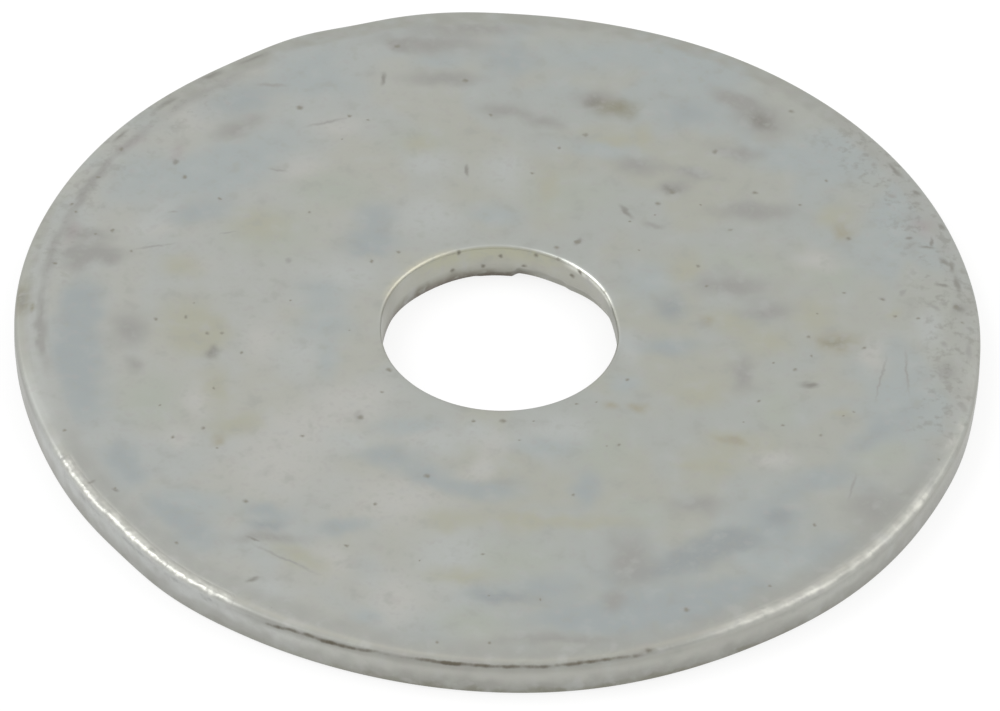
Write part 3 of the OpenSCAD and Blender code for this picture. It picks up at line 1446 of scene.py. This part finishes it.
@dataclass(frozen=True)
class ZincPlate:
    """The bright zinc plate: the tones of its skin, with their grain, strokes and pits.

    Scales are in waves a millimetre, and a detail is the number of a noise's layers. Rises run
    over a noise from 0 to 1, but for three: that of the crease's painted shade runs over its share
    made uneven, the stroke's drop over the distance below the top face, and its outline over the
    way from the middle of a stroke to its edge.
    """

    view: PhotoView
    section: SheetSection
    face_roughness: float = 0.42
    corner_roughness: float = 0.5
    dull_roughness: float = 0.6
    soft_detail: float = 3.0
    bead_detail: float = 1.0
    scratch_detail: float = 4.0
    grain_scale: float = 2.2
    grain_height: float = 0.1
    bead_scale: float = 2.7
    bead_height: float = 2.4
    relief: float = 0.05
    veil_scale: float = 1.3
    veil_light: Rise = Rise(0.5, 0.75)
    veil_dark: Rise = Rise(0.48, 0.25)
    veil_share: float = 0.45
    cast_scale: float = 2.6
    cast_rose: Rise = Rise(0.5, 0.75)
    cast_green: Rise = Rise(0.5, 0.25)
    cast_share: float = 0.3
    scratch_scale: float = 3.0
    scuffs: Rise = Rise(0.5, 0.68)
    scuff_strength: float = 0.45
    # Painted shade along the rim's crease: its raggedness and its rise
    crease_drift: float = 0.9
    crease: Rise = Rise(0.3, 1.1)
    edge_scale: float = 3.0
    edge_drift: float = 0.06
    stroke_spread: float = 1.4
    stroke_breaks: Rise = Rise(0.2, 0.45)
    stroke_drop: Rise = Rise(0.4, 0.2)
    stroke_outline: Rise = Rise(1.1, 0.1)
    stroke_share: float = 0.85

    def share(self, graph: Graph, name: str) -> Socket:
        """Read a share that the skin keeps with the mesh."""
        return graph.add("ShaderNodeAttribute", {"attribute_name": name}, {}, "Fac")

    def material(self) -> bpy.types.Material:
        """Make the whole finish.

        Returns:
            The material.
        """
        graph = Graph("zinc_plate")
        spot = graph.add("ShaderNodeTexCoord", {}, {}, "Object")
        place = graph.vector("SCALE", {0: spot, "Scale": 1 / MM})
        fine = graph.grain(place, self.grain_scale, self.soft_detail)
        beads = graph.grain(place, self.bead_scale, self.bead_detail)
        dull = self.share(graph, "dull_share")
        corner = self.share(graph, "corner_share")
        colour = graph.add("ShaderNodeAttribute", {"attribute_name": "skin_tone"}, {}, "Color")
        colour = self.grained(graph, place, colour)
        colour = self.marked(graph, place, fine, colour)
        height = fine * self.grain_height + corner * beads * self.bead_height
        bump = graph.add("ShaderNodeBump", {}, {"Distance": self.relief * MM, "Height": height})
        roughness = self.face_roughness + dull * (self.dull_roughness - self.face_roughness)
        roughness = roughness + corner * (self.corner_roughness - self.face_roughness)
        sockets = {"Base Color": colour, "Metallic": 1.0, "Roughness": roughness, "Normal": bump}
        return graph.finish(graph.add("ShaderNodeBsdfPrincipled", {}, sockets))

    def grained(self, graph: Graph, place: Socket, colour: Socket) -> Socket:
        """Lay a soft veil, a faint cast of rose and green, the scuffs and the crease's painted
        shade.

        Args:
            graph: The material's node tree.
            place: The place in millimetres.
            colour: Colour to lay them over.

        Returns:
            The new colour.
        """
        veil = graph.grain(place, self.veil_scale, self.soft_detail)
        light = veil.step(self.veil_light) * self.veil_share
        dark = veil.step(self.veil_dark) * self.veil_share
        cast = graph.grain(place, self.cast_scale, self.soft_detail)
        rose = cast.step(self.cast_rose) * self.cast_share
        green = cast.step(self.cast_green) * self.cast_share
        scratches = graph.grain(place, self.scratch_scale, self.scratch_detail)
        scuffs = self.share(graph, "scuff_share") * scratches.step(self.scuffs)
        uneven = (scratches - NOISE_MIDDLE) * self.crease_drift
        crease = self.share(graph, "crease_share") + uneven
        layers = (
            (light, Tone.FROST),
            (dark, Tone.SMOKE),
            (rose, Tone.ROSE),
            (green, Tone.SAGE),
            (scuffs * self.scuff_strength, Tone.SOOT_AND_SHADE),
            # Painted shade along the crease of the rim's corner
            (crease.step(self.crease), Tone.PAINTED_CREASE_SHADE),
        )
        for share, tone in layers:
            colour = graph.mixed(share, colour, tone.value)
        return colour

    def beyond(self, graph: Graph, place: Socket, mark: Mark) -> Socket:
        """Measure how far the place lies from the centre of a mark.

        Args:
            graph: The material's node tree.
            place: The place in millimetres.
            mark: The mark.

        Returns:
            A value that grows evenly from 0 at the centre to 1 at the outline and beyond.
        """
        settings = {"rotation_type": "Z_AXIS"}
        sockets = {"Vector": place, "Center": mark.centre, "Angle": -mark.lean}
        turned = graph.add("ShaderNodeVectorRotate", settings, sockets)
        scale = (1 / mark.long, 1 / mark.wide, 0)
        shift = (-mark.centre[0] / mark.long, -mark.centre[1] / mark.wide, 0)
        local = graph.vector("MULTIPLY_ADD", {0: turned, 1: scale, 2: shift})
        return graph.vector("LENGTH", {0: local}, "Value")

    def marked(self, graph: Graph, place: Socket, fine: Socket, colour: Socket) -> Socket:
        """Lay the strokes and the pits over a colour.

        Args:
            graph: The material's node tree.
            place: The place in millimetres.
            fine: A fine noise, which breaks the strokes.
            colour: Colour to lay them over.

        Returns:
            The new colour.
        """
        top = self.section.sheet_t
        level = graph.add("ShaderNodeSeparateXYZ", {}, {0: place}, "Z")
        broken = fine.step(self.stroke_breaks) * (top - level).step(self.stroke_drop)
        ragged = graph.drifted(place, self.edge_scale, self.edge_drift)
        for tone, strokes in STROKES.items():
            marks = [stroke.on(self.view, top, self.stroke_spread) for stroke in strokes]
            away = least(self.beyond(graph, ragged, mark) for mark in marks)
            share = away.step(self.stroke_outline) * broken * self.stroke_share
            colour = graph.mixed(share, colour, tone.value)
        kinds = [(Tone.PIT, p.radius, [self.view.on_level(at, top) for at in p.at]) for p in PITS]
        in_bore = [self.view.on_far_wall(at, self.section.bore_r) for at in BORE_PITS.at]
        kinds.append((Tone.DEEP_PIT, BORE_PITS.radius, in_bore))
        for tone, radius, points in kinds:
            away = least(
                graph.vector("DISTANCE", {0: ragged, 1: point}, "Value") for point in points
            )
            colour = graph.mixed(away.step(Rise(radius, 0.0)), colour, tone.value)
        return colour


@dataclass
class Washer:
    """The washer's own piece: how it is turned, worked and dressed.

    Faces that meet at up to smooth_up_to degrees are shaded smooth, and points within same_place
    of each other are one. The rim's uneven outline fades out inwards over rim_reach, and the
    bore's fades out outwards over bore_reach.
    """

    section: SheetSection
    finish: ZincPlate
    foot: TornFoot = field(default_factory=TornFoot)
    sectors: int = 8
    sector_steps: int = 90
    smooth_up_to: float = 50.0
    same_place: float = 0.001
    rim_reach: float = 5.5
    bore_reach: Rise = Rise(2.0, 0.4)
    rim_shape: tuple[Lobe | Bulge, ...] = (
        Lobe(2, 0.05, -30.0),
        Lobe(3, 0.07, 37.5),
        Lobe(4, 0.016, -15.0),
        Bulge(6.0, 5.0, 0.035),
        Bulge(-16.0, 5.0, 0.055),
        Bulge(-40.0, 15.0, 0.17),
        Bulge(-56.0, 6.0, -0.04),
        Bulge(-78.0, 8.0, 0.07),
        Bulge(-106.0, 9.0, -0.05),
        Bulge(-131.0, 6.0, 0.08),
        Bulge(-140.0, 4.0, -0.05),
        Bulge(-164.0, 7.0, -0.045),
        Bulge(178.0, 12.0, 0.07),
        Bulge(127.0, 7.0, -0.05),
        Bulge(117.0, 4.0, 0.1),
        Bulge(109.0, 3.0, -0.05),
        Bulge(99.0, 7.0, 0.07),
        Bulge(90.0, 4.0, -0.035),
        Bulge(79.0, 9.0, -0.09),
    )
    mouth_shape: tuple[Bulge, ...] = (
        Bulge(180.0, 14.0, -0.05),
        Bulge(12.0, 10.0, -0.08),
        Bulge(-32.0, 24.0, 0.05),
    )
    foot_shape: tuple[Bulge, ...] = (
        Bulge(173.0, 12.0, -0.1),
        Bulge(128.0, 12.0, -0.05),
        Bulge(62.0, 8.0, -0.06),
        Bulge(42.0, 8.0, 0.04),
        Bulge(8.0, 8.0, -0.06),
        Bulge(-32.0, 24.0, 0.05),
    )

    def turn(self) -> bpy.types.Object:
        """Draw the section point by point, spin one sector and copy it round the axis.

        Returns:
            The turned washer.
        """
        line = self.section.line()
        sector = 2 * math.pi / self.sectors
        round_axis = {"center": (0, 0, 0), "axis": (0, 0, 1)}
        bpy.ops.object.select_all(action="DESELECT")
        bpy.ops.mesh.primitive_plane_add(size=MM)
        piece = bpy.context.object
        piece.name = "zinc_plated_washer"
        bpy.ops.object.mode_set(mode="EDIT")
        bpy.ops.mesh.select_all(action="SELECT")
        bpy.ops.mesh.merge(type="CENTER")
        start = Vector((line[0][0], 0, line[0][1])) * MM
        bpy.ops.transform.translate(value=start)
        for before, after in zip(line[:-1], line[1:]):
            move = Vector((after[0] - before[0], 0, after[1] - before[1])) * MM
            bpy.ops.mesh.extrude_vertices_move(TRANSFORM_OT_translate={"value": move})
        bpy.ops.mesh.select_all(action="SELECT")
        bpy.ops.mesh.spin(steps=self.sector_steps, angle=sector, **round_axis)
        bpy.ops.mesh.select_all(action="SELECT")
        copies = self.sectors - 1
        bpy.ops.mesh.spin(steps=copies, dupli=True, angle=copies * sector, **round_axis)
        bpy.ops.mesh.select_all(action="SELECT")
        bpy.ops.mesh.remove_doubles(threshold=self.same_place * MM)
        bpy.ops.mesh.normals_make_consistent(inside=False)
        bpy.ops.object.mode_set(mode="OBJECT")
        return piece

    def work(self, piece: bpy.types.Object) -> Surface:
        """Give the turned washer its lobes and the torn foot of its bore.

        Args:
            piece: The turned washer.

        Returns:
            The points of its mesh.
        """
        mesh = piece.data
        flat = np.zeros(len(mesh.vertices) * 3)
        mesh.vertices.foreach_get("co", flat)
        place = flat.reshape(-1, 3) / MM
        radius = np.hypot(place[:, 0], place[:, 1])
        azimuth = np.arctan2(place[:, 1], place[:, 0])
        level = place[:, 2].copy()

        section = self.section
        wall = np.abs(radius - section.bore_r) < self.same_place
        height, flare = self.foot.shape(azimuth)
        in_tear = wall & (level < section.bore_tear_h + self.same_place)
        drop = 1 - level / section.bore_tear_h
        land_top = section.sheet_t - section.mouth_r
        share = (level - section.bore_tear_h) / (land_top - section.bore_tear_h)
        radius = np.where(in_tear, radius + flare * drop, radius)
        level = np.where(in_tear, height * (1 - drop), level)
        level = np.where(wall & ~in_tear, height + (land_top - height) * share, level)
        depth = np.where(wall, 1 - level / height, -1.0)

        rim_push = sum(form.push(azimuth) for form in self.rim_shape)
        mouth_push = sum(form.push(azimuth) for form in self.mouth_shape)
        foot_push = sum(form.push(azimuth) for form in self.foot_shape)
        bore_push = foot_push + (mouth_push - foot_push) * level / section.sheet_t
        near_rim = Rise(self.rim_reach, section.roll_w).share(section.rim_r - radius)
        near_bore = self.bore_reach.share(radius - section.bore_r)
        reach = radius + rim_push * near_rim + bore_push * near_bore
        place = np.column_stack((reach * np.cos(azimuth), reach * np.sin(azimuth), level))
        mesh.vertices.foreach_set("co", (place * MM).ravel())
        mesh.update()
        return Surface(place, radius, azimuth, level, depth)

    def build(self) -> bpy.types.Object:
        """Make the whole piece and hand it to the frame.

        Returns:
            The finished washer.
        """
        piece = self.turn()
        surface = self.work(piece)
        Skin(surface, self.section, self.finish.view).paint(piece.data)
        bpy.ops.object.select_all(action="DESELECT")
        piece.select_set(True)
        bpy.context.view_layer.objects.active = piece
        bpy.ops.object.shade_smooth_by_angle(angle=math.radians(self.smooth_up_to))
        piece.data.materials.clear()
        piece.data.materials.append(self.finish.material())
        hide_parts("washer")
        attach(piece, "root")
        LOG.info("%s: %d faces", piece.name, len(piece.data.polygons))
        return piece


@dataclass(frozen=True)
class Softbox:
    """A rectangular softbox that faces the washer.

    Attributes:
        name: Its name.
        azimuth: Its direction from the washer, in degrees from +X.
        elevation: Its height over the floor as seen from the washer, in degrees.
        away: Its distance from the washer in metres.
        across: Its width in metres.
        tall: Its height in metres.
        radiance: How brightly it glows, where 1 is white.
        colour: The colour of its light.
    """

    name: str
    azimuth: float
    elevation: float
    away: float
    across: float
    tall: float
    radiance: float
    colour: tuple[float, float, float] = (1.0, 1.0, 1.0)

    def hang(self) -> bpy.types.Object:
        """Add the lamp in its place.

        Returns:
            The lamp.
        """
        level = Vector(heading(self.azimuth)) * math.cos(math.radians(self.elevation))
        toward = level + Vector((0, 0, math.sin(math.radians(self.elevation))))
        bpy.ops.object.light_add(type="AREA", location=toward * self.away)
        lamp = bpy.context.object
        lamp.name = self.name
        lamp.rotation_mode = "QUATERNION"
        lamp.rotation_quaternion = toward.to_track_quat("Z", "Y")
        lamp.data.shape = "RECTANGLE"
        lamp.data.size = self.across
        lamp.data.size_y = self.tall
        lamp.data.energy = self.radiance * math.pi * self.across * self.tall
        lamp.data.color = self.colour
        return lamp


@dataclass
class Studio:
    """A pale floor, a soft sky and two softboxes.

    Attributes:
        floor_size: Side of the floor in metres.
        floor_drop: How far it lies below the washer, in millimetres.
        floor_grey: How much of the light it throws back.
        whiteness: Share of plain white in it where the camera or a reflection sees it.
        sky_strength: Strength of the sky's light.
        softboxes: The softboxes.
    """

    floor_size: float = 6.0
    floor_drop: float = 0.02
    floor_grey: float = 0.95
    whiteness: float = 0.8
    sky_strength: float = 0.91
    softboxes: tuple[Softbox, ...] = (
        Softbox("left_softbox", 170.0, 50.0, 0.7, 0.4, 0.5, 3.0),
        Softbox("right_softbox", 12.0, 48.0, 0.7, 0.5, 0.5, 1.3, (1.0, 0.98, 0.93)),
    )

    def lay_floor(self) -> bpy.types.Object:
        """Lay the floor just under the washer.

        Returns:
            The floor.
        """
        bpy.ops.object.select_all(action="DESELECT")
        drop = (0, 0, -self.floor_drop * MM)
        bpy.ops.mesh.primitive_plane_add(size=self.floor_size, location=drop)
        floor = bpy.context.object
        floor.name = "studio_floor"
        graph = Graph("pale_floor")
        grey = (self.floor_grey, self.floor_grey, self.floor_grey, 1)
        matt = graph.add("ShaderNodeBsdfDiffuse", {}, {"Color": grey})
        glow = graph.add("ShaderNodeEmission", {}, {"Color": (1, 1, 1, 1), "Strength": 1.0})
        camera = graph.add("ShaderNodeLightPath", {}, {}, "Is Camera Ray")
        seen = camera
        for ray in ("Is Glossy Ray", "Is Transmission Ray"):
            seen = seen.larger(camera.output(ray))
        share = seen * self.whiteness
        shader = graph.add("ShaderNodeMixShader", {}, {0: share, 1: matt, 2: glow})
        floor.data.materials.append(graph.finish(shader))
        return floor

    def light_sky(self) -> None:
        """Light the washer evenly from all round."""
        world = bpy.data.worlds.new("soft_sky")
        bpy.context.scene.world = world
        world.use_nodes = True
        background = world.node_tree.nodes["Background"]
        background.inputs["Color"].default_value = (1, 1, 1, 1)
        background.inputs["Strength"].default_value = self.sky_strength

    def set_up(self) -> None:
        """Build the whole studio."""
        self.lay_floor()
        self.light_sky()
        for softbox in self.softboxes:
            softbox.hang()


def main() -> None:
    """Build the camera, the studio and the washer, with sizes taken from the washer's box."""
    logging.basicConfig(level=logging.INFO, format="%(name)s: %(message)s")
    noise.seed_set(NOISE_SEED)
    scene = bpy.context.scene
    scene.view_settings.view_transform = "Standard"
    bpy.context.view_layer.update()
    low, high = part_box("washer")
    bore = next(mount for mount in frame["record"]["mounts"] if mount["name"] == "bore")
    section = SheetSection(
        rim_r=(high.x - low.x) / 2 / MM,
        bore_r=bore["dims"]["r_mm"],
        sheet_t=(high.z - low.z) / MM,
    )
    view = PhotoView()
    view.set_up()
    Studio().set_up()
    Washer(section, ZincPlate(view, section)).build()


if __name__ == "__main__":
    main()
